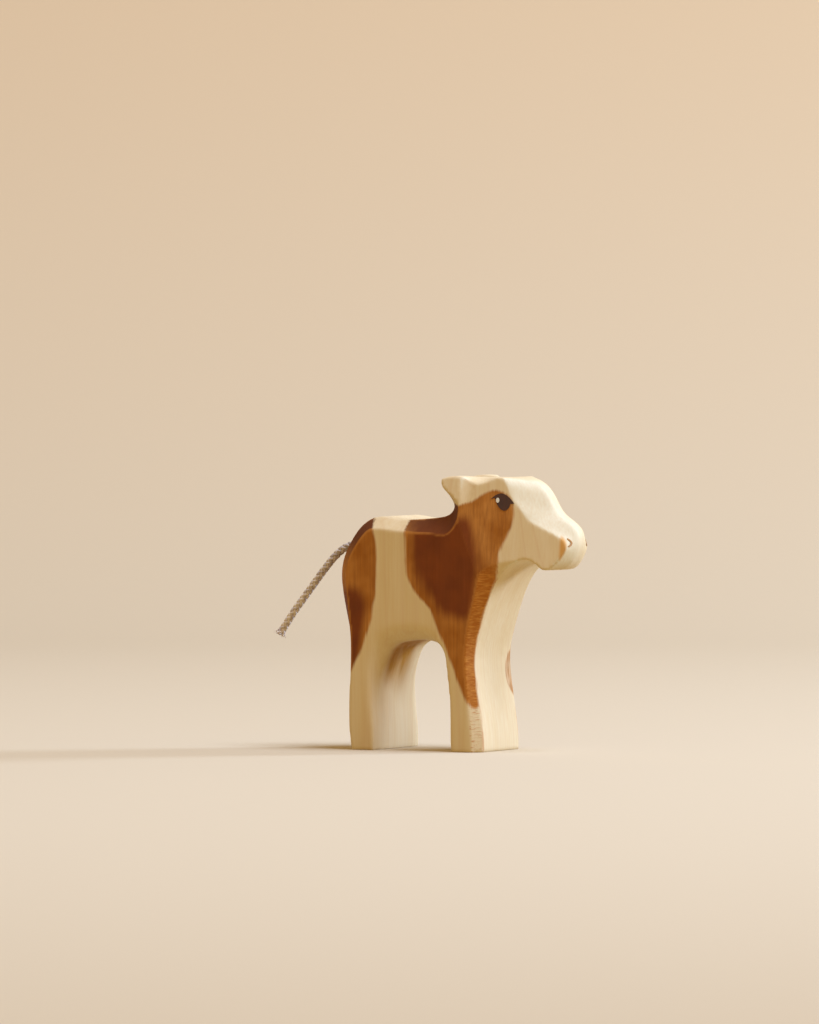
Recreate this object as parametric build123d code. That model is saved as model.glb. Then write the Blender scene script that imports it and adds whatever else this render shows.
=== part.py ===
from build123d import *
import math
import os

# A small calf carved from one block of pale wood, with a cord tail glued into its rump.
# Millimetres. +X points ahead, out of the muzzle, +Y to the calf's left, +Z up.
# The origin lies on the floor, under the middle of the carved block.

# Block and knife work. The side outline further down stretches to this length and height.
FIGURE_LENGTH = 65.1
FIGURE_HEIGHT = 71.3
BLOCK_THICKNESS = 26.0
EDGE_CHAMFER = 2.9
FACE_FLAT_WIDTH = 4.0

# Head sides: a flat cut on each side, from the neck, where it leaves the flank, to the muzzle
CUT_AT_NAPE = (1.1, 66.0)
CUT_AT_CHEST = (10.1, 44.0)
CUT_AT_MUZZLE = (30.1, 53.0)
MUZZLE_WIDTH = 13.6

# Ears: sides that lean in, a gouge across the top and one down the side in front of each ear,
# and a valley between the two
EAR_LEAN_DEPTH = 9.3
EAR_SPREAD = 21.4
EAR_HOLLOW_X = 8.2
EAR_HOLLOW_RADIUS = 8.0
EAR_HOLLOW_DEPTH = 1.5
EAR_HOLLOW_FALL = 12.0
EAR_NOTCH_X = 5.7
EAR_NOTCH_RADIUS = 4.5
EAR_NOTCH_DEPTH = 1.0
EAR_VALLEY_RADIUS = 11.0
EAR_VALLEY_DEPTH = 1.9
EAR_VALLEY_START = -3.0
EAR_VALLEY_END = 9.0

# Tail: a cord glued into a blind hole, free to bend at the hole and a little way out
CORD_DIAMETER = 2.0
GLUE_LINE = 0.15
TAIL_HOLE_DEPTH = 8.0
GLUE_PLUG = 1.0
TAIL_DROP = 7.4
GLUE_SET_BACK = 1.0
BEND_GAP = 0.3
SWING_PIVOT_OUT = 0.8
LIFT_PIVOT_OUT = 3.1

# Paint marks
PAINT_FILM = 0.12
GLINT_FILM = 0.08
NOSTRIL_WIDTH = 0.4

# Side outline of the block, from the hind sole round by the chest, head and back.
# Each point is x, z, how far back the sides of the face are drawn, and its share of the edge chamfer.
HIND_SOLE = [
    (-27.8, 0.0, 0.0, 0.10),
    (-21.2, 0.0, 0.0, 0.05),
]
LEG_ARCH = [
    (-21.2, 0.0, 0.0, 0.05),
    (-21.1, 7.0, 0.0, 0.08),
    (-21.3, 13.0, 0.0, 0.20),
    (-20.7, 18.5, 0.0, 0.55),
    (-19.3, 23.2, 0.0, 1.00),
    (-17.2, 26.9, 0.0, 1.20),
    (-12.5, 28.5, 0.0, 1.10),
    (-5.2, 28.5, 0.0, 0.70),
    (-1.8, 26.9, 0.0, 0.25),
    (0.1, 22.0, 0.0, 0.05),
    (1.1, 13.0, 0.0, 0.05),
    (1.4, 0.0, 0.0, 0.05),
]
FRONT_SOLE = [
    (1.4, 0.0, 0.0, 0.05),
    (9.7, 0.0, 0.0, 0.80),
]
RUMP = [
    (-21.7, 60.7, 0.0, 1.05),
    (-25.6, 58.7, 0.0, 1.00),
    (-29.3, 54.0, 0.0, 1.00),
    (-31.1, 50.4, 0.0, 1.00),
    (-31.9, 46.2, 0.0, 1.00),
    (-31.3, 40.0, 0.0, 0.85),
    (-29.9, 33.5, 0.0, 0.60),
    (-28.5, 27.0, 0.0, 0.25),
    (-28.3, 19.0, 0.0, 0.10),
    (-28.6, 12.0, 0.0, 0.10),
    (-27.8, 0.0, 0.0, 0.10),
]
UPPER_OUTLINE = [
    # Front of the leg, chest and throat
    (9.7, 0.0, 0.0, 0.80),
    (9.4, 6.0, 0.0, 0.80),
    (8.4, 13.0, 0.0, 0.70),
    (7.4, 20.0, 0.0, 0.58),
    (7.2, 25.5, 0.0, 0.55),
    (8.3, 31.0, 0.0, 0.72),
    (10.0, 36.5, 0.0, 0.85),
    (11.9, 41.5, 0.0, 1.15),
    (14.3, 45.8, 0.0, 1.70),
    (17.6, 48.9, 0.0, 1.50),
    (21.0, 50.1, 0.0, 0.80),
    (24.2, 49.0, 0.5, 0.30),
    # Chin, muzzle, bridge and forehead
    (27.8, 47.4, 2.0, 0.20),
    (30.9, 48.9, 3.0, 0.20),
    (32.5, 51.4, 3.0, 0.20),
    (33.2, 54.4, 3.6, 0.20),
    (32.8, 57.4, 9.0, 0.20),
    (30.2, 60.1, 10.8, 0.20),
    (27.4, 62.1, 8.9, 0.20),
    (25.4, 65.3, 9.2, 0.20),
    (22.6, 69.1, 7.9, 0.20),
    (19.4, 70.9, 5.3, 0.20),
    # Poll and ear
    (14.0, 71.3, 1.0, 0.20),
    (6.0, 71.3, 0.0, 0.20),
    (-1.3, 71.3, 0.0, 0.15),
    (-2.3, 70.8, 0.0, 0.15),
    (-2.4, 69.5, 0.0, 0.20),
    # Nape and back
    (-1.1, 67.5, 0.0, 0.35),
    (0.4, 65.6, 0.0, 0.70),
    (1.1, 63.6, 0.0, 1.00),
    (0.0, 61.9, 0.0, 1.45),
    (-3.4, 60.8, 0.0, 1.50),
    (-9.0, 60.25, 0.0, 1.15),
    (-15.0, 60.2, 0.0, 1.00),
    # Rump and back of the hind leg
    *RUMP,
]

# Route of the free cord in the middle plane: back and down from the hole's mouth, to the cut end
TAIL_ROUTE = [
    (0.0, 0.0),
    (5.5, 0.3),
    (9.2, 2.9),
    (12.9, 7.1),
    (18.2, 13.7),
    (22.6, 19.0),
    (26.5, 24.5),
]
ROUTE_ARC_SHARE = 0.45

# Eye on the flat side of the head: ahead and up from the eye's middle
EYE_X = 14.7
EYE_DROP = 6.1
EYE_LID = [(-2.9, 0.5), (-1.8, 1.5), (-0.2, 2.05), (1.6, 1.3), (3.3, -0.5)]
EYE_BALL = [(2.2, -0.6), (1.8, -1.75), (0.7, -2.4), (-0.55, -1.75), (-1.4, -0.4), (-1.9, 0.9)]
GLINT_PLACE = (-1.1, 0.25)
GLINT_HALF_WIDTH = 0.45
GLINT_HALF_HEIGHT = 0.65

# Nostril: a short bowed stroke on the muzzle, out from the middle and up from the muzzle's cut
NOSTRIL_STROKE = [(4.9, 2.6), (4.2, 1.6), (5.3, 0.6)]

drawn_x = [point[0] for point in UPPER_OUTLINE]
drawn_height = max(point[1] for point in UPPER_OUTLINE)
drawn_middle = (max(drawn_x) + min(drawn_x)) / 2
lengthen = FIGURE_LENGTH / (max(drawn_x) - min(drawn_x))
stretch = FIGURE_HEIGHT / drawn_height
tail_height = RUMP[0][1] * stretch - TAIL_DROP
half_thickness = BLOCK_THICKNESS / 2
half_muzzle = MUZZLE_WIDTH / 2
half_ears = EAR_SPREAD / 2
cord_radius = CORD_DIAMETER / 2
hole_radius = cord_radius + GLUE_LINE


def ahead(drawn):
    """Where an x of the drawing lies in the part, whose origin is under the middle of the block."""
    return (drawn - drawn_middle) * lengthen


def outline_runs(points):
    """Direction of the outline at each point of one stretch, in x and z."""
    runs = []
    for index in range(len(points)):
        before = points[max(index - 1, 0)]
        after = points[min(index + 1, len(points) - 1)]
        runs.append(Vector(after[0] - before[0], after[1] - before[1]).normalized())
    return runs


def inset_point(point, run, inset, y):
    """An outline point moved into the wood. A corner of a sole moves along the floor."""
    inward = Vector(-run.Y, run.X)
    for back_corner, front_corner in (HIND_SOLE, FRONT_SOLE):
        if point == back_corner:
            inward = Vector(1, 0)
        if point == front_corner:
            inward = Vector(-1, 0)
    return Vector(ahead(point[0]) + inward.X * inset, y, point[1] * stretch + inward.Y * inset)


def chord_steps(points):
    """Each point's share of the way along its stretch, the same at every depth of the block."""
    steps = [0.0]
    for before, after in zip(points, points[1:]):
        steps.append(steps[-1] + math.dist(before[:2], after[:2]))
    return [step / steps[-1] for step in steps]


def section(y, face_share, edge_share):
    """The outline at one depth of the block, as a face across Y."""
    edges = []
    for points in (HIND_SOLE, LEG_ARCH, FRONT_SOLE, UPPER_OUTLINE):
        moved = []
        for point, run in zip(points, outline_runs(points)):
            chamfered = inset_point(point, run, edge_share * point[3] * EDGE_CHAMFER, y)
            moved.append(chamfered - Vector(face_share * point[2] * lengthen, 0, 0))
        if len(moved) == 2:
            edges.append(Line(*moved))
        else:
            edges.append(Edge.make_spline(moved, parameters=chord_steps(points)))
    return Face(Wire(edges))


def carve_block():
    """The sawn block with its chamfered edges and the slanting facets of its face."""
    levels = [
        (FACE_FLAT_WIDTH / 2, 0.0, 0.0),
        (half_thickness - EDGE_CHAMFER, 1.0, 0.0),
        (half_thickness, 1.0, 1.0),
    ]
    right = [section(-y, face_share, edge_share) for y, face_share, edge_share in reversed(levels)]
    left = [section(y, face_share, edge_share) for y, face_share, edge_share in levels]
    return loft(right + left, ruled=True)


def head_side(side):
    """The flat side of the head. side is -1 for the calf's right and 1 for its left."""
    nape = Vector(ahead(CUT_AT_NAPE[0]), side * half_thickness, CUT_AT_NAPE[1] * stretch)
    chest = Vector(ahead(CUT_AT_CHEST[0]), side * half_thickness, CUT_AT_CHEST[1] * stretch)
    muzzle = Vector(ahead(CUT_AT_MUZZLE[0]), side * half_muzzle, CUT_AT_MUZZLE[1] * stretch)
    normal = (chest - nape).cross(muzzle - nape).normalized()
    if normal.Y * side < 0:
        normal = -normal
    return Plane(nape, x_dir=muzzle - nape, z_dir=normal)


def ear_side(side):
    """The leaning plane outside one ear."""
    lean = half_thickness - half_ears
    normal = Vector(0, side * EAR_LEAN_DEPTH, lean)
    start = Vector(0, side * half_thickness, FIGURE_HEIGHT - EAR_LEAN_DEPTH)
    return Plane(start, x_dir=(1, 0, 0), z_dir=normal)


def ear_hollow(side):
    """Round gouge across the top of the head in front of one ear, falling outward."""
    fall = math.radians(EAR_HOLLOW_FALL)
    outward = Vector(0, side * math.cos(fall), -math.sin(fall))
    upward = Vector(0, side * math.sin(fall), math.cos(fall))
    floor = Vector(ahead(EAR_HOLLOW_X), side * half_ears, FIGURE_HEIGHT - EAR_HOLLOW_DEPTH)
    middle = floor + upward * EAR_HOLLOW_RADIUS
    return Plane(middle, x_dir=(1, 0, 0), z_dir=outward) * Cylinder(EAR_HOLLOW_RADIUS, BLOCK_THICKNESS)


def ear_notch(side):
    """Round gouge down the side of the head in front of one ear, running out below."""
    top = Vector(ahead(EAR_NOTCH_X), side * (half_ears - EAR_NOTCH_DEPTH), FIGURE_HEIGHT)
    bottom = Vector(ahead(EAR_NOTCH_X), side * half_thickness, FIGURE_HEIGHT - EAR_LEAN_DEPTH)
    along = bottom - top
    outward = Vector(0, -side * along.Z, side * along.Y).normalized()
    middle = top + outward * EAR_NOTCH_RADIUS
    return Plane(middle, x_dir=(1, 0, 0), z_dir=along) * Cylinder(EAR_NOTCH_RADIUS, 2 * along.length)


def ear_valley():
    """Shallow gouge along the head between the ears, running out towards the poll."""
    deep = Vector(ahead(EAR_VALLEY_START), 0, FIGURE_HEIGHT - EAR_VALLEY_DEPTH + EAR_VALLEY_RADIUS)
    shallow = Vector(ahead(EAR_VALLEY_END), 0, FIGURE_HEIGHT + EAR_VALLEY_RADIUS)
    along = shallow - deep
    return Plane(deep, x_dir=(0, 1, 0), z_dir=along) * Cylinder(EAR_VALLEY_RADIUS, 2 * along.length)


def tail_mouth():
    """The middle of the tail hole's mouth, on the rump."""
    for above, below in zip(RUMP, RUMP[1:]):
        top = above[1] * stretch
        bottom = below[1] * stretch
        if bottom <= tail_height <= top:
            share = (top - tail_height) / (top - bottom)
            return Vector(ahead(above[0] + share * (below[0] - above[0])), 0, tail_height)


def along_tail_hole(start_depth, end_depth, radius):
    """A cylinder on the tail hole's axis, between two depths from the rump's surface."""
    length = end_depth - start_depth
    start = tail_mouth() + Vector(start_depth, 0, 0)
    rod = Cylinder(radius, length, align=(Align.CENTER, Align.CENTER, Align.MIN))
    return Plane(start, x_dir=(0, 1, 0), z_dir=(1, 0, 0)) * rod


def make_body():
    """The carved calf, with the blind hole for its tail."""
    body = carve_block()
    for side in (-1, 1):
        body = split(body, bisect_by=head_side(side), keep=Keep.BOTTOM)
        body = split(body, bisect_by=ear_side(side), keep=Keep.BOTTOM)
        body -= ear_hollow(side)
        body -= ear_notch(side)
    body -= ear_valley()
    mouth_allowance = BLOCK_THICKNESS / 4
    body -= along_tail_hole(-mouth_allowance, TAIL_HOLE_DEPTH, hole_radius)
    return body


def tail_route():
    """The points of the tail's route."""
    return [tail_mouth() - Vector(back, 0, down) for back, down in TAIL_ROUTE]


def route_point(out):
    """A point on the first run of the tail's route, that far out of the hole."""
    start, following = tail_route()[:2]
    return start + (following - start).normalized() * out


def route_radii(points):
    """Radius of the bend at each inner point, as large as the shorter run there allows."""
    radii = []
    for before, here, after in zip(points, points[1:], points[2:]):
        turn = math.radians((here - before).get_angle(after - here))
        shorter = min((here - before).length, (after - here).length)
        radii.append(ROUTE_ARC_SHARE * shorter / math.tan(turn / 2))
    return radii


def make_tail_root():
    """The short stretch of cord at the hole, round where it turns."""
    pivot = route_point(SWING_PIVOT_OUT)
    end = route_point(LIFT_PIVOT_OUT - cord_radius - BEND_GAP)
    rod = Cylinder(cord_radius, (end - pivot).length, align=(Align.CENTER, Align.CENTER, Align.MIN))
    return Plane(pivot, z_dir=end - pivot) * rod + Pos(*pivot) * Sphere(cord_radius)


def make_tail():
    """The rest of the free cord, from its lift point to the cut end."""
    route = tail_route()
    radii = route_radii(route)
    pivot = route_point(LIFT_PIVOT_OUT)
    path = FilletPolyline(pivot, *route[1:], radius=radii)
    circle = Plane(pivot, z_dir=route[1] - pivot) * Circle(cord_radius)
    tube = sweep(circle, path=path)
    fullness = tube.volume / (math.pi * cord_radius**2 * path.length)
    print("tail bend radii", [round(radius, 1) for radius in radii])
    print("tail tube", round(path.length, 2), "long, volume over section by length", round(fullness, 4))
    return tube + Pos(*pivot) * Sphere(cord_radius)


def make_glue():
    """The set glue round the cord's end and under it."""
    plug = along_tail_hole(GLUE_SET_BACK, TAIL_HOLE_DEPTH, hole_radius)
    return plug - along_tail_hole(0.0, TAIL_HOLE_DEPTH - GLUE_PLUG, cord_radius)


def make_seat():
    """The stretch of cord that is glued in the hole."""
    start = cord_radius + BEND_GAP - SWING_PIVOT_OUT
    return along_tail_hole(start, TAIL_HOLE_DEPTH - GLUE_PLUG, cord_radius)


def eye_plane():
    """The flat of the right side of the head at the eye, with x ahead and y up."""
    flat = head_side(-1)
    sight = Axis((ahead(EYE_X), 0, FIGURE_HEIGHT - EYE_DROP), (0, 1, 0))
    place = flat.intersect(sight)
    forward = Vector(1, 0, 0) - flat.z_dir * flat.z_dir.X
    return Plane(place, x_dir=forward, z_dir=flat.z_dir)


def make_right_eye():
    """The painted eye: a lid line drawn out to both corners, over a round pupil."""
    lid = Spline(*EYE_LID)
    ball = Spline(*EYE_BALL)
    front_corner = Line(EYE_LID[-1], EYE_BALL[0])
    back_corner = Line(EYE_BALL[-1], EYE_LID[0])
    return extrude(eye_plane() * make_face([lid, front_corner, ball, back_corner]), amount=PAINT_FILM)


def make_right_glint():
    """The white dot on the eye."""
    dot = Pos(GLINT_PLACE[0], GLINT_PLACE[1], PAINT_FILM) * Ellipse(GLINT_HALF_WIDTH, GLINT_HALF_HEIGHT)
    return extrude(eye_plane() * dot, amount=GLINT_FILM)


def make_nostrils(body):
    """Two bowed strokes of paint that follow the front of the muzzle."""
    stroke = trace(Spline(*NOSTRIL_STROKE), line_width=NOSTRIL_WIDTH)
    inside = (ahead(CUT_AT_MUZZLE[0]) - half_muzzle, 0, CUT_AT_MUZZLE[1] * stretch)
    behind = Plane(inside, x_dir=(0, 1, 0), z_dir=(1, 0, 0))
    prism = extrude(behind * stroke, amount=MUZZLE_WIDTH)
    painted_body = Pos(PAINT_FILM, 0, 0) * body
    left = (prism & painted_body) - body
    right = mirror(left, about=Plane.XZ)
    return Compound(left.solids() + right.solids())


body = make_body()
right_eye = make_right_eye()
right_glint = make_right_glint()
nodes = {
    "carved_body": body,
    "tail_glue": make_glue(),
    "tail_cord_seat": make_seat(),
    "tail_cord_root": make_tail_root(),
    "tail_cord": make_tail(),
    "right_eye": right_eye,
    "left_eye": mirror(right_eye, about=Plane.XZ),
    "right_eye_glint": right_glint,
    "left_eye_glint": mirror(right_glint, about=Plane.XZ),
    "nostril_marks": make_nostrils(body),
}
os.makedirs("parts", exist_ok=True)
for name, shape in nodes.items():
    export_step(shape, f"parts/{name}.step")
swing_pivot = route_point(SWING_PIVOT_OUT)
lift_pivot = route_point(LIFT_PIVOT_OUT)
print("tail swing pivot", swing_pivot, "tail lift pivot", lift_pivot)
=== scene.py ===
import math

import bmesh
import bpy
import numpy as np
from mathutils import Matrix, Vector


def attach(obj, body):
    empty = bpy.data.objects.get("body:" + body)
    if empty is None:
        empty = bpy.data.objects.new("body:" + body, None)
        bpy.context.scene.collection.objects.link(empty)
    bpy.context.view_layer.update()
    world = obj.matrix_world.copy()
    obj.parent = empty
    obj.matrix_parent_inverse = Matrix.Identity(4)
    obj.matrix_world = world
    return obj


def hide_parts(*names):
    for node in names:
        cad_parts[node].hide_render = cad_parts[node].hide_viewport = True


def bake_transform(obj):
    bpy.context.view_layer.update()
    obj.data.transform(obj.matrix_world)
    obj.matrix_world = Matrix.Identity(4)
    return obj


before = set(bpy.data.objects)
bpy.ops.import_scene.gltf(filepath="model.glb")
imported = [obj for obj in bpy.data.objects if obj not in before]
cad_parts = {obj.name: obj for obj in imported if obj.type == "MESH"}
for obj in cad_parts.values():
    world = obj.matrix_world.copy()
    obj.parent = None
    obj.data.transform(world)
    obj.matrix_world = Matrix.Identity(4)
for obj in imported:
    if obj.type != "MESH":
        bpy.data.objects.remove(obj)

# Looks of a small carved wooden calf with a cord tail. Sizes are in millimetres and become metres in use.
# +X points ahead, out of the muzzle, +Y to the calf's left and +Z up.

MM = 0.001
scene = bpy.context.scene
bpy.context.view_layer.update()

# Camera, at the photograph's viewing angle
FOCAL_PIXELS = 11514.5
LONG_SIDE_PIXELS = 1024
SENSOR_WIDTH = 36
CAMERA_PLACE = (1366.45, -2668.2, 145.9)
CAMERA_AZIMUTH = 27.4213
CAMERA_TILT = 1.6026

azimuth = math.radians(CAMERA_AZIMUTH)
tilt = math.radians(CAMERA_TILT)
level_back = Vector((math.sin(azimuth), -math.cos(azimuth), 0))
camera_back = level_back * math.cos(tilt) + Vector((0, 0, math.sin(tilt)))
lens = bpy.data.cameras.new("camera")
lens.sensor_width = SENSOR_WIDTH
lens.lens = FOCAL_PIXELS * SENSOR_WIDTH / LONG_SIDE_PIXELS
camera = bpy.data.objects.new("camera", lens)
camera.location = Vector(CAMERA_PLACE) * MM
camera.rotation_euler = camera_back.to_track_quat("Z", "Y").to_euler()
scene.collection.objects.link(camera)
scene.camera = camera


def link(name, mesh):
    """A mesh as an object of the scene."""
    made = bpy.data.objects.new(name, mesh)
    scene.collection.objects.link(made)
    return made


def smooth_line(points, closed=False, steps=16):
    """Points read from the NURBS spline that has these points as its control points."""
    curve = bpy.data.curves.new("line", "CURVE")
    curve.dimensions = "3D"
    curve.resolution_u = steps
    spline = curve.splines.new("NURBS")
    spline.points.add(len(points) - 1)
    for control, place in zip(spline.points, points):
        control.co = (*place, 1)
    spline.order_u = 3
    spline.use_endpoint_u = not closed
    spline.use_cyclic_u = closed
    holder = bpy.data.objects.new("line", curve)
    mesh = bpy.data.meshes.new_from_object(holder)
    read = np.array([vertex.co for vertex in mesh.vertices])
    bpy.data.objects.remove(holder)
    bpy.data.curves.remove(curve)
    bpy.data.meshes.remove(mesh)
    return read


def ease_between(low, high, value):
    """0 at low, 1 at high, and smooth between. low may be the larger."""
    share = np.clip((value - low) / (high - low), 0, 1)
    return share * share * (3 - 2 * share)


# Tail cord: braided cotton, from inside the hole to the frayed end. Route: x, z in the middle plane.
TAIL_ROUTE = [
    (-29.3, 53.3),
    (-30.3, 53.3),
    (-35.8, 53.0),
    (-39.45, 50.45),
    (-43.1, 46.35),
    (-48.25, 39.85),
    (-52.55, 34.6),
    (-56.15, 29.3),
]
YARNS_EACH_WAY = 4
YARN_RADIUS = 0.38
BRAID_RADIUS = 0.58
BRAID_WAVE = 0.11
BRAID_TURN_LENGTH = 6.2
CORE_RADIUS = 0.72
YARN_STEP = 0.15
FRAY_LENGTH = 1.3
FRAY_SPREAD = 0.6
FRAY_FIBRES = 60
FRAY_OFFSET = (0.1, 1.1)
FRAY_RUN = (0.5, 1.1)
FRAY_FLARE = (0.2, 0.9)
FIBRE_RADIUS = 0.05
FIBRE_TAPER = (1.6, 1.2, 0.6)
YARN_TONES = (0.4, 1.0)
FIBRE_TONES = (0.3, 1.0)
CORE_TONE = 0.5
MOUTH_OUT = 1.0
SPLIT_OUT = MOUTH_OUT + 1.95

route = smooth_line([(x * MM, 0, z * MM) for x, z in TAIL_ROUTE])
route_steps = np.concatenate([[0], np.cumsum(np.linalg.norm(np.diff(route, axis=0), axis=1))])
route_length = route_steps[-1]


def on_route(along):
    """Places on the cord's line, and its direction there, at distances along it."""
    places = np.stack([np.interp(along, route_steps, route[:, axis]) for axis in range(3)], axis=1)
    ahead = np.stack([np.interp(along + MM / 4, route_steps, route[:, axis]) for axis in range(3)], axis=1)
    behind = np.stack([np.interp(along - MM / 4, route_steps, route[:, axis]) for axis in range(3)], axis=1)
    runs = ahead - behind
    return places, runs / np.linalg.norm(runs, axis=1)[:, None]


def round_line(bm, places, radii, tone, layer, sides=2):
    """Adds a round thread along these places to bm, with its tone on every vertex."""
    curve = bpy.data.curves.new("thread", "CURVE")
    curve.dimensions = "3D"
    curve.bevel_depth = 1.0
    curve.bevel_resolution = sides
    curve.use_fill_caps = True
    spline = curve.splines.new("POLY")
    spline.points.add(len(places) - 1)
    for point, place, radius in zip(spline.points, places, radii):
        point.co = (*place, 1)
        point.radius = radius
    holder = bpy.data.objects.new("thread", curve)
    mesh = bpy.data.meshes.new_from_object(holder)
    first = len(bm.verts)
    bm.from_mesh(mesh)
    bm.verts.ensure_lookup_table()
    for vertex in bm.verts[first:]:
        vertex[layer] = tone
    bpy.data.objects.remove(holder)
    bpy.data.curves.remove(curve)
    bpy.data.meshes.remove(mesh)


def make_cord():
    """The whole cord as one bmesh: a core, the braided yarns round it and the frayed end."""
    chance = np.random.default_rng(7)
    bm = bmesh.new()
    tone_layer = bm.verts.layers.float.new("tone")
    along_layer = bm.verts.layers.float.new("along")
    along = np.arange(0, route_length, YARN_STEP * MM)
    places, runs = on_route(along)
    across = np.tile([0.0, 1.0, 0.0], (len(along), 1))
    upward = np.cross(runs, across)
    round_line(bm, places, np.full(len(along), CORE_RADIUS * MM), CORE_TONE, tone_layer)
    turn = 2 * math.pi * along / (BRAID_TURN_LENGTH * MM)
    fray = np.clip(1 - (route_length - along) / (FRAY_LENGTH * MM), 0, 1) ** 2
    thick = np.full(len(along), YARN_RADIUS * MM)
    for way in (1, -1):
        for index in range(YARNS_EACH_WAY):
            angle = 2 * math.pi * index / YARNS_EACH_WAY + way * turn
            reach = BRAID_RADIUS + way * BRAID_WAVE * np.cos(YARNS_EACH_WAY * turn) + FRAY_SPREAD * fray
            offset = across * np.cos(angle)[:, None] + upward * np.sin(angle)[:, None]
            yarn = places + offset * reach[:, None] * MM
            round_line(bm, yarn, thick, chance.uniform(*YARN_TONES), tone_layer)
    end, run = places[-1], runs[-1]
    thin = np.array(FIBRE_TAPER) * FIBRE_RADIUS * MM
    for _ in range(FRAY_FIBRES):
        angle = chance.uniform(0, 2 * math.pi)
        side = across[-1] * math.cos(angle) + upward[-1] * math.sin(angle)
        reach = chance.uniform(*FRAY_OFFSET)
        length = chance.uniform(*FRAY_RUN)
        flare = chance.uniform(*FRAY_FLARE)
        start = end + side * reach * MM - run * MM
        middle = start + run * length * MM + side * flare * 0.3 * MM
        tip = middle + run * length * 0.4 * MM + side * flare * MM
        fibre = np.array([start, middle, tip])
        round_line(bm, fibre, thin, chance.uniform(*FIBRE_TONES), tone_layer, sides=1)
    for vertex in bm.verts:
        vertex[along_layer] = (route[0][0] - vertex.co.x) / (route[0][0] - route[-1][0])
    return bm


def cut_cord(bm, name, keep_far):
    """One side of the cord, cut across where its root ends."""
    part = bm.copy()
    place, run = on_route(np.array([SPLIT_OUT * MM]))
    geometry = part.verts[:] + part.edges[:] + part.faces[:]
    cleared = {"clear_inner": keep_far, "clear_outer": not keep_far}
    bmesh.ops.bisect_plane(part, geom=geometry, plane_co=place[0], plane_no=run[0], **cleared)
    bmesh.ops.recalc_face_normals(part, faces=part.faces[:])
    for face in part.faces:
        face.smooth = True
    mesh = bpy.data.meshes.new(name)
    part.to_mesh(mesh)
    part.free()
    return link(name, mesh)


cord_bm = make_cord()
tail_base = cut_cord(cord_bm, "tail_base", keep_far=False)
tail_line = cut_cord(cord_bm, "tail_line", keep_far=True)
cord_bm.free()


# Carved body: the CAD solid with its arrises eased, and the face rounded further
HALF_THICKNESS = 13.0
EDGE_CHAMFER = 2.9
VOXEL = 0.4
EASING_ROUNDS = 2
FACE_ROUNDS = 20
FACE_BEHIND = 11.4
FACE_ABOVE = 50.0
FACE_BESIDE = 5.0
ARCH_ROUNDS = 40
ARCH_LOW = (-27.6, 2.0)
ARCH_HIGH = (-3.1, 35.0)
ARCH_BESIDE = 7.0
ARCH_FULL = 26.0


def make_body():
    """The body's solid as one even mesh, its arrises eased, its face and belly edges rounded further."""
    bm = bmesh.new()
    bm.from_mesh(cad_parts["carved_body"].data)
    bmesh.ops.remove_doubles(bm, verts=bm.verts, dist=MM / 1000)
    mesh = bpy.data.meshes.new("rough_calf")
    bm.to_mesh(mesh)
    bm.free()
    rough = link("rough_calf", mesh)
    remesh = rough.modifiers.new("even", "REMESH")
    remesh.mode = "VOXEL"
    remesh.voxel_size = VOXEL * MM
    remesh.use_smooth_shade = True
    ease = rough.modifiers.new("ease", "SMOOTH")
    ease.factor = 0.5
    ease.iterations = EASING_ROUNDS
    evaluated = rough.evaluated_get(bpy.context.evaluated_depsgraph_get())
    made = bpy.data.meshes.new_from_object(evaluated)
    made.name = "calf"
    bpy.data.objects.remove(rough)
    bm = bmesh.new()
    bm.from_mesh(made)
    face = []
    arch = []
    for vertex in bm.verts:
        x, y, z = vertex.co / MM
        if x > FACE_BEHIND and z > FACE_ABOVE and abs(y) < FACE_BESIDE:
            face.append(vertex)
        if ARCH_LOW[0] < x < ARCH_HIGH[0] and ARCH_LOW[1] < z < ARCH_HIGH[1] and abs(y) > ARCH_BESIDE:
            arch.append(vertex)
    every_way = {"factor": 0.5, "use_axis_x": True, "use_axis_y": True, "use_axis_z": True}
    for _ in range(FACE_ROUNDS):
        bmesh.ops.smooth_vert(bm, verts=face, **every_way)
    for step in range(ARCH_ROUNDS):
        above = ARCH_LOW[1] + (ARCH_FULL - ARCH_LOW[1]) * step / ARCH_ROUNDS
        arch = [vertex for vertex in arch if vertex.co.z > above * MM]
        bmesh.ops.smooth_vert(bm, verts=arch, **every_way)
    bm.to_mesh(made)
    bm.free()
    return link("calf", made)


# Stain outlines on the flanks, as x, z. They close behind or above the body, where the stain wraps round it.
RUMP_RIGHT = [
    (-22.8, 68.0), (-22.8, 60.0), (-20.6, 54.0), (-20.6, 46.0), (-21.2, 39.0), (-23.4, 31.0),
    (-26.0, 24.0), (-29.0, 18.5), (-36.6, 14.0), (-40.6, 40.0), (-36.6, 68.0),
]
RUMP_RIGHT_DARK = [
    (-36.6, 42.0), (-27.9, 42.5), (-24.4, 41.0), (-23.0, 36.5), (-24.9, 30.0), (-27.6, 22.5),
    (-30.6, 18.0), (-37.6, 20.0),
]
FRONT_RIGHT = [
    (-12.7, 66.0), (-12.7, 58.0), (-12.5, 50.0), (-11.8, 45.0), (-9.2, 40.5), (-5.2, 37.0), (-3.2, 32.0),
    (-0.2, 26.0), (2.0, 19.5), (5.1, 13.0), (7.1, 10.5), (9.5, 14.0), (9.5, 26.0), (10.5, 34.0),
    (12.5, 42.0), (13.5, 49.0), (14.0, 53.0), (16.8, 57.0), (17.4, 62.0), (16.4, 66.5), (12.5, 68.6),
    (9.0, 67.2), (5.5, 64.6), (1.6, 64.0), (-2.5, 66.0),
]
FRONT_RIGHT_DARK = [
    (-10.2, 60.5), (-10.2, 52.0), (-9.1, 45.5), (-5.5, 39.5), (-1.5, 35.5), (3.6, 34.5), (7.3, 36.0),
    (8.3, 44.0), (9.3, 51.0), (7.5, 58.0), (5.5, 61.5), (-0.5, 61.5),
]
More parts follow.
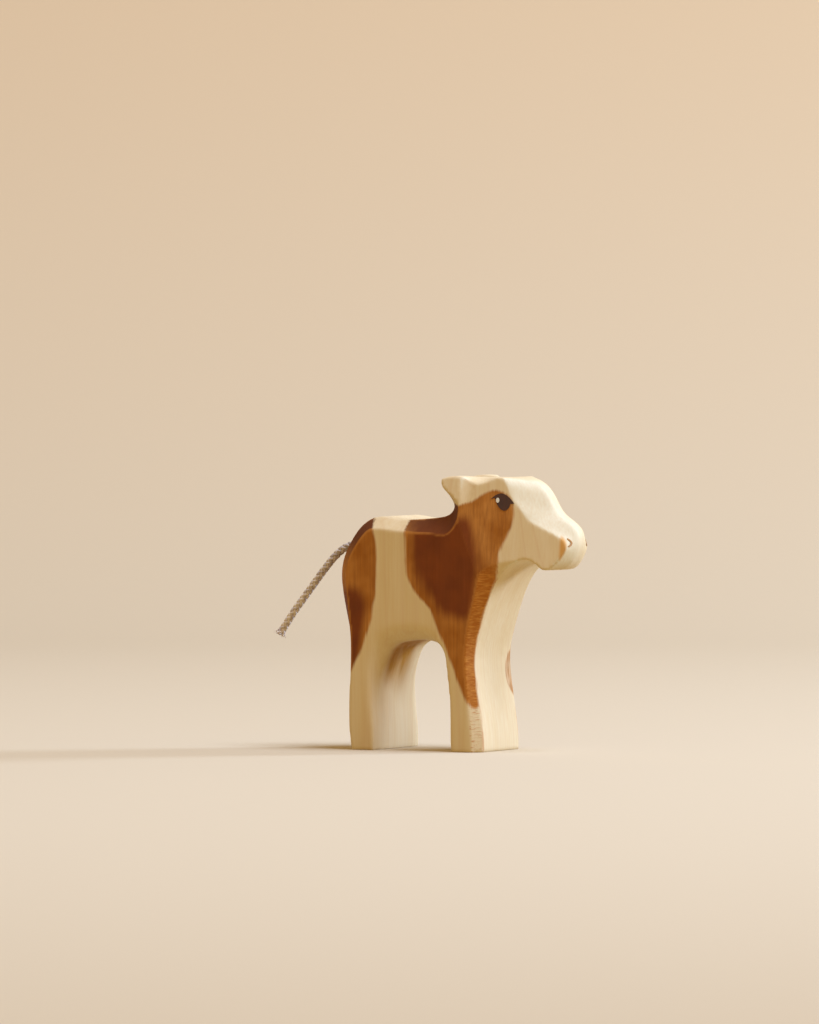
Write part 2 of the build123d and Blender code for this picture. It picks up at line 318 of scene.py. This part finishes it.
RUMP_LEFT = [
    (-22.8, 68.0), (-22.8, 60.0), (-19.4, 54.0), (-18.6, 47.0), (-20.4, 40.0), (-22.4, 33.0),
    (-25.4, 27.0), (-29.0, 22.5), (-36.6, 18.0), (-40.6, 40.0), (-36.6, 68.0),
]
RUMP_LEFT_DARK = [
    (-36.6, 46.0), (-27.6, 46.0), (-23.4, 44.0), (-23.0, 39.0), (-25.2, 32.0), (-28.2, 26.0),
    (-30.6, 22.0), (-37.6, 22.0),
]
FRONT_LEFT = [
    (-12.7, 66.0), (-12.8, 58.0), (-11.5, 51.0), (-9.5, 45.0), (-7.5, 40.0), (-3.4, 35.0), (-1.9, 30.0),
    (0.7, 24.0), (3.9, 17.5), (7.1, 13.5), (9.5, 17.0), (9.5, 26.0), (10.5, 34.0), (12.5, 42.0),
    (13.5, 49.0), (14.0, 53.0), (16.2, 57.0), (17.0, 62.0), (16.4, 66.5), (12.5, 68.6), (9.0, 67.2),
    (5.5, 64.6), (1.6, 64.0), (-2.5, 66.0),
]
FRONT_LEFT_DARK = [
    (-9.8, 60.5), (-9.2, 52.0), (-7.1, 46.0), (-4.5, 40.0), (-0.5, 36.0), (3.6, 35.5), (7.3, 38.0),
    (8.3, 45.0), (9.2, 51.0), (7.1, 58.0), (5.1, 61.5), (-0.5, 61.5),
]
# Where the left flank's stain runs over onto the front of the leg, and a dab on the muzzle's corner, as y, z
LEFT_LEG_SPOT = [
    (7.4, 23.0), (6.4, 19.5), (7.8, 16.2), (11.2, 13.6), (15.0, 14.0), (15.0, 28.0), (10.0, 26.6),
]
MUZZLE_DAB = [(-8.0, 56.9), (-5.2, 56.9), (-5.8, 53.6), (-6.8, 48.4), (-8.0, 48.2)]
MUZZLE_BEHIND = 29.3
LEG_FRONT_BEHIND = 3.4
SPOT_DEPTH = 0.2
# Where thin stain and painted warm shade darken the inside of the leg arch and the front of the hind leg,
# and a little the throat, with the painted highlight down the front leg
ARCH_SHADE_BEHIND = -8.6
DOWN_HIND_LEG_STRENGTH = 0.4
THROAT_STRENGTH = 0.2
SHIN_HIGHLIGHT_STRENGTH = 0.15
# Places across and heights between which each effect grows, in millimetres: from none to full
FLANK_CHANGE = (-7.0, 7.0)
BARE_FRONT_TOP = (56.0, 50.0)
CHAMFER_TOP = (52.0, 48.0)
CORNER_LINE_BESIDE = (0.45, 0.1)
CORNER_LINE_TOP = (12.5, 10.5)
UNDER_BELLY_RIGHT = (-10.5, -6.0)
UNDER_BELLY_LEFT = (9.0, 2.0)
UNDER_BELLY_BOTTOM = (9.0, 23.0)
DOWN_HIND_LEG_RIGHT = (-11.0, -7.0)
DOWN_HIND_LEG_LEFT = (2.0, -4.0)
DOWN_HIND_LEG_BOTTOM = (-8.0, 14.0)
THROAT_BESIDE = (9.0, 4.0)
THROAT_BOTTOM = (35.0, 44.0)
THROAT_TOP = (52.0, 48.0)
FACE_HIGHLIGHT_BOTTOM = (46.5, 50.0)
SHIN_HIGHLIGHT_TOP = (46.0, 20.0)
SOAKED_BOTTOM = (46.0, 56.0)
# The same for how far a surface faces ahead, left or down, where 1 is square to that way
FRONT_AHEAD = (0.3, 0.6)
BARE_FRONT_AHEAD = (0.25, 0.6)
CHAMFER_AHEAD = (0.3, 0.55)
CHAMFER_ASIDE = (0.3, 0.5)
ARCH_INWARD = (0.1, 0.5)
FACE_HIGHLIGHT_AHEAD = (0.3, 0.5)
FACE_HIGHLIGHT_LEFT = (0.3, -0.5)
SOAKED_ASIDE = (0.96, 0.8)
SOAKED_AHEAD = (0.2, -0.1)
ARRIS_TURN = (0.025, 0.06)


def depth_inside(outline, across, up):
    """How far points lie inside a smooth closed outline, in millimetres, negative outside it."""
    curve = smooth_line([(a, b, 0) for a, b in outline], closed=True, steps=6)[:, :2]
    nearest = np.full(len(across), np.inf)
    inside = np.zeros(len(across), bool)
    for (ax, ay), (bx, by) in zip(curve, np.roll(curve, -1, axis=0)):
        run_x, run_y = bx - ax, by - ay
        length = max(run_x * run_x + run_y * run_y, 1e-12)
        share = np.clip(((across - ax) * run_x + (up - ay) * run_y) / length, 0, 1)
        gap = np.hypot(across - ax - share * run_x, up - ay - share * run_y)
        nearest = np.minimum(nearest, gap)
        if run_y != 0:
            inside ^= ((ay > up) != (by > up)) & (across < ax + (up - ay) * run_x / run_y)
    return np.where(inside, nearest, -nearest)


def arris_share(mesh, places, facing):
    """How sharply the surface turns outward at each vertex: 0 if flat or hollow and 1 on an arris."""
    ends = np.zeros(len(mesh.edges) * 2, np.int32)
    mesh.edges.foreach_get("vertices", ends)
    first, second = ends.reshape(-1, 2).T
    run = places[second] - places[first]
    drop = np.bincount(first, -(facing[first] * run).sum(1), len(places))
    drop += np.bincount(second, (facing[second] * run).sum(1), len(places))
    return ease_between(*ARRIS_TURN, drop / np.bincount(ends, minlength=len(places)) / VOXEL)


def write_stain(body):
    """Stores how deep each vertex of the body lies in the stain's two coats, how the knife left it, and
    where highlight and shade are painted into the colour.
    """
    mesh = body.data
    count = len(mesh.vertices)
    places = np.zeros(count * 3, np.float32)
    mesh.vertices.foreach_get("co", places)
    places = places.reshape(-1, 3) / MM
    facing = np.zeros(count * 3, np.float32)
    mesh.vertices.foreach_get("normal", facing)
    facing = facing.reshape(-1, 3)
    x, y, z = places.T
    ahead, leftward, upward = facing.T
    aside = np.abs(leftward)
    left = ease_between(*FLANK_CHANGE, y)
    coats = {}
    for name, pairs in (
        ("coat", ((RUMP_RIGHT, RUMP_LEFT), (FRONT_RIGHT, FRONT_LEFT))),
        ("second_coat", ((RUMP_RIGHT_DARK, RUMP_LEFT_DARK), (FRONT_RIGHT_DARK, FRONT_LEFT_DARK))),
    ):
        depths = []
        for on_right, on_left in pairs:
            depths.append((1 - left) * depth_inside(on_right, x, z) + left * depth_inside(on_left, x, z))
        coats[name] = np.maximum(*depths)

    # The stain stops at the edge between the front chamfers and the front, except where it runs over
    forward = ease_between(*BARE_FRONT_AHEAD, ahead) * ease_between(*BARE_FRONT_TOP, z)
    beside_front = np.abs(y) - (HALF_THICKNESS - EDGE_CHAMFER)
    on_front_leg = x > LEG_FRONT_BEHIND
    thin_spot = np.minimum(depth_inside(LEFT_LEG_SPOT, y, z), SPOT_DEPTH)
    spot = np.where(on_front_leg, thin_spot, -HALF_THICKNESS)
    fronted = np.maximum(np.minimum(coats["coat"], beside_front), spot)
    coats["coat"] = (1 - forward) * coats["coat"] + forward * fronted
    thinned = np.minimum(coats["second_coat"], -1.0)
    coats["second_coat"] = np.where(forward > 0.5, thinned, coats["second_coat"])

    # The knife's cuts on the front chamfers, and the broken line of stain along their corner
    chamfer = ease_between(*CHAMFER_AHEAD, ahead) * ease_between(*CHAMFER_ASIDE, aside)
    chamfer *= ease_between(*CHAMFER_TOP, z)
    corner_line = ease_between(*CORNER_LINE_BESIDE, np.abs(beside_front)) * ease_between(*CORNER_LINE_TOP, z)

    # Thin stain and painted warm shade under the arch and down the hind leg's front, and a little painted
    # shade with stain on the throat under the jaw
    inner = np.maximum(ease_between(*ARCH_INWARD, ahead), ease_between(*ARCH_INWARD, -upward))
    under_belly = ease_between(*UNDER_BELLY_RIGHT, y) * ease_between(*UNDER_BELLY_LEFT, y) * ease_between(*UNDER_BELLY_BOTTOM, z)
    down_hind_leg = ease_between(*DOWN_HIND_LEG_RIGHT, y) * ease_between(*DOWN_HIND_LEG_LEFT, y) * ease_between(*DOWN_HIND_LEG_BOTTOM, z)
    stain_and_shade = inner * np.maximum(under_belly, DOWN_HIND_LEG_STRENGTH * down_hind_leg) * (x < ARCH_SHADE_BEHIND)
    front = ease_between(*FRONT_AHEAD, ahead) * on_front_leg
    throat = front * ease_between(*THROAT_BOTTOM, z) * ease_between(*THROAT_TOP, z)
    throat *= ease_between(*THROAT_BESIDE, np.abs(y))

    # Painted highlight: paler colour on the right of the face and down the front leg, where light falls on
    # them; and end grain that soaks up stain
    face = ease_between(*FACE_HIGHLIGHT_LEFT, leftward) * ease_between(*FACE_HIGHLIGHT_AHEAD, ahead)
    face *= ease_between(*FACE_HIGHLIGHT_BOTTOM, z)
    shin_highlight = SHIN_HIGHLIGHT_STRENGTH * front * ease_between(*SHIN_HIGHLIGHT_TOP, z)
    soaked = ease_between(*SOAKED_ASIDE, aside) * ease_between(*SOAKED_AHEAD, ahead)
    soaked *= ease_between(*SOAKED_BOTTOM, z)
    values = {
        **coats,
        "soaked": soaked,
        "front_chamfer": chamfer * on_front_leg,
        "corner_line": corner_line * on_front_leg,
        "dab": np.minimum(depth_inside(MUZZLE_DAB, y, z), x - MUZZLE_BEHIND),
        "stain_and_shade": np.maximum(stain_and_shade, THROAT_STRENGTH * throat),
        "painted_highlight": np.maximum(face, shin_highlight),
        "arris": arris_share(mesh, places, facing),
    }
    for name, value in values.items():
        mesh.attributes.new(name, "FLOAT", "POINT").data.foreach_set("value", value.astype(np.float32))


calf = make_body()
write_stain(calf)


# Materials
def linear(code):
    """A hex sRGB colour as linear red, green, blue and alpha."""
    parts = [int(code[place:place + 2], 16) / 255 for place in (0, 2, 4)]
    return [part / 12.92 if part <= 0.04045 else ((part + 0.055) / 1.055) ** 2.4 for part in parts] + [1.0]


def add(tree, kind, inputs=None, output=0, **settings):
    """Adds a shader node and gives one of its outputs. inputs holds a socket's value, or what feeds it."""
    made = tree.nodes.new("ShaderNode" + kind)
    for name, value in settings.items():
        setattr(made, name, value)
    for key, value in (inputs or {}).items():
        if isinstance(value, bpy.types.NodeSocket):
            tree.links.new(value, made.inputs[key])
        else:
            made.inputs[key].default_value = value
    return made.outputs[output] if made.outputs else None


def new_material(name):
    """A material with its principled shader."""
    made = bpy.data.materials.new(name)
    made.use_nodes = True
    tree = made.node_tree
    tree.nodes.clear()
    surface = add(tree, "BsdfPrincipled")
    add(tree, "OutputMaterial", {"Surface": surface})
    return made, tree, surface.node


def per(size):
    """Texture scale for features of this size in millimetres."""
    return 1 / (size * MM)


# Sizes of the patterns, in millimetres. Wood fibres and cotton fluff are drawn coarse enough to show.
GRAIN_WIDTH = 0.55
STREAK_WIDTH = 2.6
CLOUD_SIZE = 8.0
RING_SPREAD = 6.0
KNIFE_SCRATCH = 0.4
FACET_SIZE = 8.0
YARN_FLUFF = 0.3
BRUSH_MARK = 0.8

# Heights of the relief in the surface, in millimetres
FACET_RELIEF = 0.4
TORN_RELIEF = 0.08
GRAIN_RELIEF = 0.04
FLUFF_RELIEF = 0.08

# Sockets and settings of a colour mix: base where the share is 0 and top where it is 1
SHARE, BASE, TOP = 0, 6, 7
COLOURS = {"data_type": "RGBA", "output": 2}
SOFT = {"interpolation_type": "SMOOTHSTEP"}


def stained_wood():
    """Pale close-grained maple, knife cut and left matt, with brown stain brushed on in two coats, and
    painted highlight and shade in its colour.
    """
    made, tree, shader = new_material("maple_with_brown_stain")
    place = add(tree, "TexCoord", output="Object")
    lengthwise = add(tree, "Mapping", {"Vector": place, "Scale": (1, 1, 0.035)})
    fibre = add(tree, "TexNoise", {"Vector": lengthwise, "Scale": per(GRAIN_WIDTH), "Detail": 3.0})
    streak = add(tree, "TexNoise", {"Vector": lengthwise, "Scale": per(STREAK_WIDTH), "Detail": 2.0})
    cloud = add(tree, "TexNoise", {"Vector": place, "Scale": per(CLOUD_SIZE), "Detail": 2.0})
    fibred = add(tree, "MapRange", {"Value": fibre, "From Min": 0.35, "From Max": 0.75})
    mottle = add(tree, "MapRange", {"Value": cloud, "From Min": 0.36, "From Max": 0.64})

    # Growth rings: thin late wood at level steps of a noise that is drawn out upright and along the flanks
    sheets = add(tree, "Mapping", {"Vector": place, "Scale": (0.3, 1, 0.012)})
    growth = add(tree, "TexNoise", {"Vector": sheets, "Scale": per(RING_SPREAD), "Detail": 0.5})
    years = add(tree, "Math", {0: growth, 1: 7.0}, operation="MULTIPLY")
    folded = add(tree, "Math", {0: years, 1: 0.5}, operation="PINGPONG")
    late = add(tree, "MapRange", {"Value": folded, "From Min": 0.12, "From Max": 0.0, "To Max": 0.12})
    bare = add(tree, "Mix", {SHARE: streak, BASE: linear("EBD8B2"), TOP: linear("F6EBD4")}, **COLOURS)
    ringed = add(tree, "Mix", {SHARE: late, BASE: bare, TOP: linear("CC8F5C")}, **COLOURS)

    # Painted highlight: the right of the face and the front of the leg are made paler where light falls on
    # them
    painted_highlight = add(tree, "Attribute", output="Fac", attribute_name="painted_highlight")
    highlight_share = add(tree, "Math", {0: painted_highlight, 1: 0.7}, operation="MULTIPLY")
    cut = add(tree, "Mix", {SHARE: highlight_share, BASE: ringed, TOP: linear("FAFCF2")}, **COLOURS)
    pores = add(tree, "Math", {0: fibred, 1: 0.22}, operation="MULTIPLY")
    wood = add(tree, "Mix", {SHARE: pores, BASE: cut, TOP: linear("DDBC86")}, **COLOURS)

    # First coat: a brushed edge, feathered a little along the grain
    coat = add(tree, "Attribute", output="Fac", attribute_name="coat")
    wavy = add(tree, "Math", {0: cloud, 1: 1.6, 2: -0.8}, operation="MULTIPLY_ADD")
    hairy = add(tree, "Math", {0: fibre, 1: 1.0, 2: -0.5}, operation="MULTIPLY_ADD")
    uneven = add(tree, "Math", {0: wavy, 1: hairy}, operation="ADD")
    edge = add(tree, "Math", {0: coat, 1: uneven}, operation="ADD")
    cover = add(tree, "MapRange", {"Value": edge, "From Min": -0.4, "From Max": 0.6, "To Max": 0.97}, **SOFT)

    # Second coat, worked in along the grain, and the deeper colour where the cut crosses the grain
    second = add(tree, "Attribute", output="Fac", attribute_name="second_coat")
    worked = add(tree, "Math", {0: streak, 1: 5.0, 2: -2.5}, operation="MULTIPLY_ADD")
    second_edge = add(tree, "Math", {0: second, 1: worked}, operation="ADD")
    deep = add(tree, "MapRange", {"Value": second_edge, "From Min": -2.0, "From Max": 2.2}, **SOFT)
    light_stain = add(tree, "Mix", {SHARE: mottle, BASE: linear("B06C1C"), TOP: linear("CE8E46")}, **COLOURS)
    dark_stain = add(tree, "Mix", {SHARE: mottle, BASE: linear("743004"), TOP: linear("863E09")}, **COLOURS)
    brown = add(tree, "Mix", {SHARE: deep, BASE: light_stain, TOP: dark_stain}, **COLOURS)
    soaked = add(tree, "Attribute", output="Fac", attribute_name="soaked")
    soaked_brown = add(tree, "Mix", {SHARE: soaked, BASE: brown, TOP: linear("622808")}, **COLOURS)
    dark_pores = add(tree, "Math", {0: fibred, 1: 0.4}, operation="MULTIPLY")
    grained = add(tree, "Mix", {SHARE: dark_pores, BASE: soaked_brown, TOP: linear("6E330A")}, **COLOURS)
    arris = add(tree, "Attribute", output="Fac", attribute_name="arris")
    rubbed = add(tree, "Math", {0: arris, 1: streak}, operation="MULTIPLY")
    rubbed_brown = add(tree, "Mix", {SHARE: rubbed, BASE: grained, TOP: linear("CB8A44")}, **COLOURS)

    # Cross cuts of the knife on the front chamfers, where the stain took unevenly
    chamfer = add(tree, "Attribute", output="Fac", attribute_name="front_chamfer")
    sideways = add(tree, "Mapping", {"Vector": place, "Scale": (0.2, 0.2, 1)})
    scales = add(tree, "TexNoise", {"Vector": sideways, "Scale": per(KNIFE_SCRATCH), "Detail": 2.0})
    torn = add(tree, "MapRange", {"Value": scales, "From Min": 0.4, "From Max": 0.7, "To Max": 0.6})
    torn_here = add(tree, "Math", {0: torn, 1: chamfer}, operation="MULTIPLY")
    orange = add(tree, "Mix", {SHARE: chamfer, BASE: rubbed_brown, TOP: linear("B46A14")}, **COLOURS)
    flecked = add(tree, "Mix", {SHARE: torn_here, BASE: orange, TOP: linear("E2A452")}, **COLOURS)

    # Stain caught in the cuts of the bare chamfer and dabbed on the muzzle, and thin stain with painted warm
    # shade inside the arch and under the jaw
    scratched = add(tree, "MapRange", {"Value": scales, "From Min": 0.58, "From Max": 0.7, "To Max": 0.6})
    scratched_here = add(tree, "Math", {0: scratched, 1: chamfer}, operation="MULTIPLY")
    line = add(tree, "Attribute", output="Fac", attribute_name="corner_line")
    broken_line = add(tree, "Math", {0: line, 1: fibred}, operation="MULTIPLY")
    marks = add(tree, "Math", {0: scratched_here, 1: broken_line}, operation="MAXIMUM")
    marked = add(tree, "Mix", {SHARE: marks, BASE: wood, TOP: linear("CB8440")}, **COLOURS)
    dab = add(tree, "Attribute", output="Fac", attribute_name="dab")
    dabbed = add(tree, "MapRange", {"Value": dab, "From Min": -0.3, "From Max": 0.5, "To Max": 0.85})
    dabbed_wood = add(tree, "Mix", {SHARE: dabbed, BASE: marked, TOP: linear("E2A852")}, **COLOURS)
    # Painted warm shade, with thin stain, under the belly, down the hind leg's front and under the jaw
    stain_and_shade = add(tree, "Attribute", output="Fac", attribute_name="stain_and_shade")
    stain_and_shade_streaked = add(tree, "Math", {0: stain_and_shade, 1: streak, 2: 0.45}, operation="MULTIPLY_ADD")
    stain_and_shade_here = add(tree, "Math", {0: stain_and_shade_streaked, 1: stain_and_shade}, operation="MULTIPLY")
    stain_and_shade_wood = add(tree, "Mix", {SHARE: stain_and_shade_here, BASE: dabbed_wood, TOP: linear("B4822C")}, **COLOURS)
    coloured = add(tree, "Mix", {SHARE: cover, BASE: stain_and_shade_wood, TOP: flecked}, **COLOURS)
    tree.links.new(coloured, shader.inputs["Base Color"])

    # Knife marks: broad shallow facets, torn grain on the chamfers and fine fibres
    facet_size = {"Vector": place, "Scale": per(FACET_SIZE), "Smoothness": 1.0}
    facets = add(tree, "TexVoronoi", facet_size, feature="SMOOTH_F1")
    facet_bump = add(tree, "Bump", {"Height": facets, "Strength": 0.15, "Distance": FACET_RELIEF * MM})
    torn_height = {"Height": torn_here, "Strength": 0.5, "Distance": TORN_RELIEF * MM}
    torn_bump = add(tree, "Bump", {**torn_height, "Normal": facet_bump})
    fibre_height = {"Height": fibre, "Strength": 0.3, "Distance": GRAIN_RELIEF * MM}
    fibre_bump = add(tree, "Bump", {**fibre_height, "Normal": torn_bump})
    tree.links.new(fibre_bump, shader.inputs["Normal"])
    rough = add(tree, "MapRange", {"Value": fibre, "To Min": 0.5, "To Max": 0.68})
    tree.links.new(rough, shader.inputs["Roughness"])
    shader.inputs["Specular IOR Level"].default_value = 0.15
    return made


def cotton_cord():
    """Grey and undyed cotton yarns, darker and duller towards the root: painted shade from the rump, and
    glue soaked in.
    """
    made, tree, shader = new_material("braided_cotton")
    place = add(tree, "TexCoord", output="Object")
    tone = add(tree, "Attribute", output="Fac", attribute_name="tone")
    fluff = add(tree, "TexNoise", {"Vector": place, "Scale": per(YARN_FLUFF), "Detail": 3.0})
    mottled = add(tree, "Math", {0: tone, 1: fluff}, operation="MULTIPLY")
    spread = add(tree, "MapRange", {"Value": mottled, "From Min": 0.1, "From Max": 0.5})
    root = add(tree, "Mix", {SHARE: spread, BASE: linear("A09AA4"), TOP: linear("D6D0D8")}, **COLOURS)
    end = add(tree, "Mix", {SHARE: spread, BASE: linear("C2BAC6"), TOP: linear("FAF6FA")}, **COLOURS)
    # Darker root colours paint the rump's shade on the cord, with glue soaked in
    along = add(tree, "Attribute", output="Fac", attribute_name="along")
    out = add(tree, "MapRange", {"Value": along, "From Min": 0.2, "From Max": 0.75})
    yarn = add(tree, "Mix", {SHARE: out, BASE: root, TOP: end}, **COLOURS)
    tree.links.new(yarn, shader.inputs["Base Color"])
    bump = add(tree, "Bump", {"Height": fluff, "Strength": 0.5, "Distance": FLUFF_RELIEF * MM})
    tree.links.new(bump, shader.inputs["Normal"])
    shader.inputs["Roughness"].default_value = 0.9
    shader.inputs["Specular IOR Level"].default_value = 0.2
    return made


def paint(name, dark, pale, roughness):
    """Hand-brushed paint film, a little uneven in tone."""
    made, tree, shader = new_material(name)
    place = add(tree, "TexCoord", output="Object")
    brushed = add(tree, "Mapping", {"Vector": place, "Scale": (1, 1, 0.3)})
    uneven = add(tree, "TexNoise", {"Vector": brushed, "Scale": per(BRUSH_MARK), "Detail": 2.0})
    film = add(tree, "Mix", {SHARE: uneven, BASE: linear(dark), TOP: linear(pale)}, **COLOURS)
    tree.links.new(film, shader.inputs["Base Color"])
    shader.inputs["Roughness"].default_value = roughness
    return made


def dress(piece, material):
    """Gives a piece its material."""
    piece.data.materials.clear()
    piece.data.materials.append(material)


wood = stained_wood()
cord_cotton = cotton_cord()
eye_paint = paint("dark_brown_eye_paint", "331509", "512812", 0.38)
# White paint dot on each eye, which also paints the eye's highlight
eye_highlight_paint = paint("white_eye_highlight_paint", "E8F2FF", "F6FAFF", 0.4)
nostril_paint = paint("brown_nostril_stain", "A8743C", "C89A64", 0.55)
glue = paint("set_wood_glue", "D8C59A", "E6D8B4", 0.4)
dress(calf, wood)
dress(tail_base, cord_cotton)
dress(tail_line, cord_cotton)
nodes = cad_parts
for side in ("right", "left"):
    dress(nodes[f"{side}_eye"], eye_paint)
    dress(nodes[f"{side}_eye_glint"], eye_highlight_paint)
dress(nodes["nostril_marks"], nostril_paint)
dress(nodes["tail_glue"], glue)
dress(nodes["tail_cord_seat"], cord_cotton)


# Each piece on its body
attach(calf, "figure")
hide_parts("carved_body")
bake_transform(tail_base)
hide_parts("tail_cord_root")
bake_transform(tail_line)
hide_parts("tail_cord")


# Seamless paper: a floor that curves up behind the calf
SWEEP_BACK = 700.0
SWEEP_RADIUS = 500.0
SWEEP_FRONT = 2600.0
SWEEP_SIDE = 2600.0
SWEEP_HEIGHT = 1600.0
SWEEP_STEPS = 24
PALE_HEIGHT = 260.0


def make_sweep():
    """The floor and backdrop as one sheet, square to the camera."""
    away = Vector((-math.sin(azimuth), math.cos(azimuth), 0))
    sideways = Vector((math.cos(azimuth), math.sin(azimuth), 0))
    bm = bmesh.new()
    near = -away * SWEEP_FRONT
    first = bm.verts.new((near - sideways * SWEEP_SIDE) * MM)
    second = bm.verts.new((near + sideways * SWEEP_SIDE) * MM)
    edge = bm.edges.new((first, second))
    flat = bmesh.ops.extrude_edge_only(bm, edges=[edge])["geom"]
    moved = [item for item in flat if isinstance(item, bmesh.types.BMVert)]
    bmesh.ops.translate(bm, verts=moved, vec=away * (SWEEP_FRONT + SWEEP_BACK) * MM)
    lip = [item for item in flat if isinstance(item, bmesh.types.BMEdge) and set(item.verts) == set(moved)]
    centre = (away * SWEEP_BACK + Vector((0, 0, SWEEP_RADIUS))) * MM
    quarter = {"cent": centre, "axis": sideways, "angle": math.pi / 2, "steps": SWEEP_STEPS}
    turned = bmesh.ops.spin(bm, geom=lip + moved, use_merge=False, **quarter)["geom_last"]
    rim = [item for item in turned if isinstance(item, bmesh.types.BMEdge)]
    top = bmesh.ops.extrude_edge_only(bm, edges=rim)["geom"]
    raised = [item for item in top if isinstance(item, bmesh.types.BMVert)]
    bmesh.ops.translate(bm, verts=raised, vec=Vector((0, 0, SWEEP_HEIGHT)) * MM)
    bmesh.ops.remove_doubles(bm, verts=bm.verts, dist=MM / 100)
    bm.normal_update()
    above = Vector((0, 0, SWEEP_RADIUS)) * MM
    for face in bm.faces:
        face.smooth = True
        if face.normal.dot(above - face.calc_center_median()) < 0:
            face.normal_flip()
    mesh = bpy.data.meshes.new("seamless_paper")
    bm.to_mesh(mesh)
    bm.free()
    return link("seamless_paper", mesh)


def seen_share(tree):
    """1 for rays that show a thing to the camera, straight or by reflection or through glass, and else 0."""
    path = add(tree, "LightPath", output="Is Camera Ray").node.outputs
    indirect = {0: path["Is Glossy Ray"], 1: path["Is Transmission Ray"]}
    mirrored = add(tree, "Math", indirect, operation="MAXIMUM")
    return add(tree, "Math", {0: path["Is Camera Ray"], 1: mirrored}, operation="MAXIMUM")


def backdrop_paper():
    """Matt beige paper, deeper in colour up the backdrop, seen paler than the light that it throws back.

    Its back is clear, so that it doesn't hide the calf from a camera behind it.
    """
    made, tree, shader = new_material("beige_paper")
    place = add(tree, "TexCoord", output="Object")
    height = add(tree, "SeparateXYZ", {0: place}, output="Z")
    raised = add(tree, "MapRange", {"Value": height, "From Min": 0.0, "From Max": PALE_HEIGHT * MM})
    pale = add(tree, "Mix", {SHARE: raised, BASE: linear("DED4C4"), TOP: linear("E2CEB4")}, **COLOURS)
    paper = add(tree, "Mix", {SHARE: seen_share(tree), BASE: linear("B09A6C"), TOP: pale}, **COLOURS)
    tree.links.new(paper, shader.inputs["Base Color"])
    shader.inputs["Roughness"].default_value = 0.95
    shader.inputs["Specular IOR Level"].default_value = 0.1
    surface = shader.outputs[0].links[0].to_socket
    back = add(tree, "NewGeometry", output="Backfacing")
    clear = add(tree, "BsdfTransparent")
    sheet = add(tree, "MixShader", {0: back, 1: shader.outputs[0], 2: clear})
    tree.links.new(sheet, surface)
    return made


sweep = make_sweep()
dress(sweep, backdrop_paper())


# Light: a cool lamp from the calf's front left, a broader one from above its face, and a warm fill all round
LAMP_DISTANCE = 2000.0
FILL_COLOUR = "FFD48C"
FILL_STRENGTH = 0.52
BEYOND_PAPER = "E2D4BE"


def add_lamp(name, turn, rise, size, power, colour):
    """A round lamp aimed at the calf. turn is from +X towards +Y and rise is above the floor, in degrees."""
    lamp = bpy.data.lights.new(name, "AREA")
    lamp.shape = "DISK"
    lamp.size = size * MM
    lamp.energy = power
    lamp.color = linear(colour)[:3]
    held = bpy.data.objects.new(name, lamp)
    level = Vector((math.cos(math.radians(turn)), math.sin(math.radians(turn)), 0))
    towards = level * math.cos(math.radians(rise)) + Vector((0, 0, math.sin(math.radians(rise))))
    held.location = towards * LAMP_DISTANCE * MM
    held.rotation_euler = towards.to_track_quat("Z", "Y").to_euler()
    scene.collection.objects.link(held)


add_lamp("side_lamp", turn=45, rise=16, size=500, power=30, colour="DAECFF")
add_lamp("top_lamp", turn=-4, rise=68, size=1000, power=31, colour="DEECFF")
world = bpy.data.worlds.new("studio")
world.use_nodes = True
sky = world.node_tree
seen = seen_share(sky)
beyond = add(sky, "Mix", {SHARE: seen, BASE: linear(FILL_COLOUR), TOP: linear(BEYOND_PAPER)}, **COLOURS)
level = add(sky, "Math", {0: seen, 1: 1 - FILL_STRENGTH, 2: FILL_STRENGTH}, operation="MULTIPLY_ADD")
surround = sky.nodes["Background"]
sky.links.new(beyond, surround.inputs["Color"])
sky.links.new(level, surround.inputs["Strength"])
scene.world = world
scene.view_settings.view_transform = "Standard"
